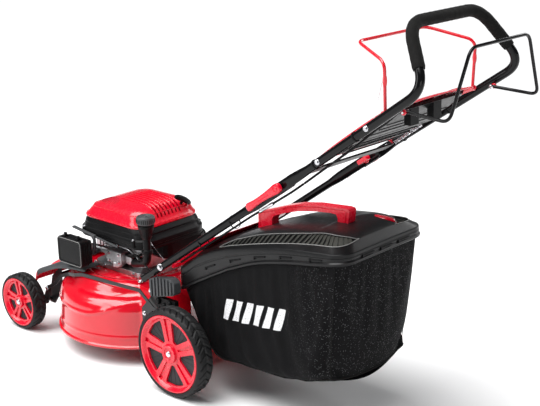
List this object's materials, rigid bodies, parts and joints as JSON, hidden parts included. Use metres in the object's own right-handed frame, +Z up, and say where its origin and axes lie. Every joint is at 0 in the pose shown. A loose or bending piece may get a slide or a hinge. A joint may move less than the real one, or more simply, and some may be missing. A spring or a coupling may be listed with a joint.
{
  "type": "lawn mower",
  "caption": "Wheeled petrol rotary mower: round steel deck, engine on top, sloping folding handle with wire bails, and a fabric grass catcher behind.",
  "frame": {"origin": "on the ground below the middle of the machine's length and width", "axes": "+Z up, +Y backwards towards the operator, +X to the mower's left"},
  "size_m": [0.52, 1.6854, 1.092],
  "materials": {
    "bag_fabric": "woven",
    "black_plastic": "satin",
    "black_tube": "gloss",
    "bright_steel": "bright",
    "cast_aluminium": "cast",
    "dark_steel": "satin",
    "filter_foam": "open-cell foam",
    "foam": "matte",
    "grey_plastic": "matte",
    "red_plastic": "gloss",
    "red_steel": "gloss",
    "tyre_rubber": "matte"
  },
  "bodies": {
    "chassis": {"deck_shell": "red_steel", "discharge_chute": "red_steel", "rear_bracket_left": "dark_steel", "rear_bracket_right": "dark_steel", "handle_bracket_left": "grey_plastic", "handle_bracket_right": "grey_plastic", "front_axle_carrier": "dark_steel", "front_cover": "grey_plastic", "nose_panel": "red_plastic", "crankcase": "cast_aluminium", "cylinder": "cast_aluminium", "spark_plug": "black_plastic", "muffler": "dark_steel", "carburettor": "cast_aluminium", "air_filter_base": "black_plastic", "air_filter_element": "filter_foam", "fan_housing": "black_plastic", "fuel_tank": "black_plastic", "engine_cover": "red_plastic", "oil_filler_tube": "black_plastic", "gearbox": "cast_aluminium", "lower_tube_left": "black_tube", "lower_tube_right": "black_tube", "fold_bolt_left": "red_plastic", "fold_bolt_right": "red_plastic", "control_cable_lower": "black_plastic"},
    "rear_axle": {"rear_axle": "dark_steel"},
    "front_axle": {"front_axle": "dark_steel"},
    "link_bar": {"height_link_bar": "dark_steel"},
    "rotor": {"crankshaft": "bright_steel", "flywheel": "cast_aluminium", "drive_pulley": "dark_steel", "blade_adapter": "cast_aluminium", "blade": "bright_steel"},
    "air_cover": {"air_filter_cover": "black_plastic"},
    "fuel_cap": {"fuel_cap": "black_plastic"},
    "recoil_grip": {"recoil_grip": "black_plastic"},
    "dipstick": {"dipstick_cap": "grey_plastic"},
    "upper_handle": {"upper_handle": "black_tube", "foam_grip": "foam", "crossbar_lower": "black_plastic", "crossbar_upper": "black_plastic", "console_panel": "red_plastic", "control_cable_upper": "black_plastic"},
    "brake_bail": {"brake_bail": "red_steel"},
    "drive_bail": {"drive_bail": "black_tube"},
    "cam_left": {"cam_lever_left": "red_plastic"},
    "cam_right": {"cam_lever_right": "red_plastic"},
    "catcher": {"catcher_lid": "black_plastic", "catcher_handle": "red_plastic", "catcher_bag": "bag_fabric"},
    "flap": {"rear_flap": "red_plastic"},
    "rear_left_wheel": {"rear_left_tyre": "tyre_rubber", "rear_left_rim": "red_plastic"},
    "rear_right_wheel": {"rear_right_tyre": "tyre_rubber", "rear_right_rim": "red_plastic"},
    "front_left_wheel": {"front_left_tyre": "tyre_rubber", "front_left_rim": "red_plastic"},
    "front_right_wheel": {"front_right_tyre": "tyre_rubber", "front_right_rim": "red_plastic"}
  },
  "joints": [
    {"name": "rear_axle_turn", "type": "hinge", "parent": "chassis", "child": "rear_axle", "pos_m": [0, 0.02178, 0.12308], "axis": [1, 0, 0], "range_deg": [0, 45]},
    {"name": "front_axle_turn", "type": "hinge", "parent": "chassis", "child": "front_axle", "pos_m": [0, -0.70922, 0.08498], "axis": [1, 0, 0], "range_deg": [0, 45]},
    {"name": "link_bar_turn", "type": "hinge", "parent": "rear_axle", "child": "link_bar", "pos_m": [0, 0.04013, 0.16851], "axis": [1, 0, 0], "range_deg": [-45, 0]},
    {"name": "rear_left_wheel_spin", "type": "hinge", "parent": "rear_axle", "child": "rear_left_wheel", "pos_m": [0.2315, -0.02305, 0.127], "axis": [1, 0, 0], "continuous": true},
    {"name": "front_left_wheel_spin", "type": "hinge", "parent": "front_axle", "child": "front_left_wheel", "pos_m": [0.206, -0.75405, 0.0889], "axis": [1, 0, 0], "continuous": true},
    {"name": "rear_right_wheel_spin", "type": "hinge", "parent": "rear_axle", "child": "rear_right_wheel", "pos_m": [-0.2315, -0.02305, 0.127], "axis": [1, 0, 0], "continuous": true},
    {"name": "front_right_wheel_spin", "type": "hinge", "parent": "front_axle", "child": "front_right_wheel", "pos_m": [-0.206, -0.75405, 0.0889], "axis": [1, 0, 0], "continuous": true},
    {"name": "rotor_spin", "type": "hinge", "parent": "chassis", "child": "rotor", "pos_m": [0, -0.42305, 0.2], "axis": [0, 0, 1], "continuous": true},
    {"name": "air_cover_pull", "type": "slide", "parent": "chassis", "child": "air_cover", "axis": [1, 0, 0], "range_m": [0, 0.05]},
    {"name": "fuel_cap_pull", "type": "slide", "parent": "chassis", "child": "fuel_cap", "axis": [-1, 0, 0], "range_m": [0, 0.03]},
    {"name": "recoil_pull", "type": "slide", "parent": "chassis", "child": "recoil_grip", "axis": [0, -0.5501, -0.8351], "range_m": [-0.45, 0], "stiffness_N_per_m": 30, "springref_m": 0.3},
    {"name": "dipstick_pull", "type": "slide", "parent": "chassis", "child": "dipstick", "axis": [0, 0, 1], "range_m": [0, 0.06]},
    {"name": "handle_fold", "type": "hinge", "parent": "chassis", "child": "upper_handle", "pos_m": [0, 0.33695, 0.6493], "axis": [1, 0, 0], "range_deg": [0, 130]},
    {"name": "brake_bail_squeeze", "type": "hinge", "parent": "upper_handle", "child": "brake_bail", "pos_m": [0, 0.65395, 0.876], "axis": [1, 0, 0], "range_deg": [-40, 0], "stiffness_Nm_per_rad": 0.8, "springref_deg": 22.92},
    {"name": "drive_bail_squeeze", "type": "hinge", "parent": "upper_handle", "child": "drive_bail", "pos_m": [0, 0.70995, 0.887], "axis": [1, 0, 0], "range_deg": [0, 40], "stiffness_Nm_per_rad": 0.8, "springref_deg": -22.92},
    {"name": "cam_left_open", "type": "hinge", "parent": "chassis", "child": "cam_left", "pos_m": [0.1935, 0.33695, 0.6493], "axis": [0, -0.5631, 0.8264], "range_deg": [0, 110]},
    {"name": "cam_right_open", "type": "hinge", "parent": "chassis", "child": "cam_right", "pos_m": [-0.1935, 0.33695, 0.6493], "axis": [0, 0.5631, -0.8264], "range_deg": [0, 110]},
    {"name": "catcher_pull", "type": "slide", "parent": "chassis", "child": "catcher", "axis": [0, 1, 0], "range_m": [0, 0.35]},
    {"name": "flap_lift", "type": "hinge", "parent": "chassis", "child": "flap", "pos_m": [0, -0.11505, 0.33], "axis": [1, 0, 0], "range_deg": [0, 35], "stiffness_Nm_per_rad": 0.3, "springref_deg": -28.65}
  ],
  "couplings": [
    {"joint": "front_axle_turn", "follows": "rear_axle_turn", "ratio": 1},
    {"joint": "link_bar_turn", "follows": "rear_axle_turn", "ratio": -1}
  ]
}
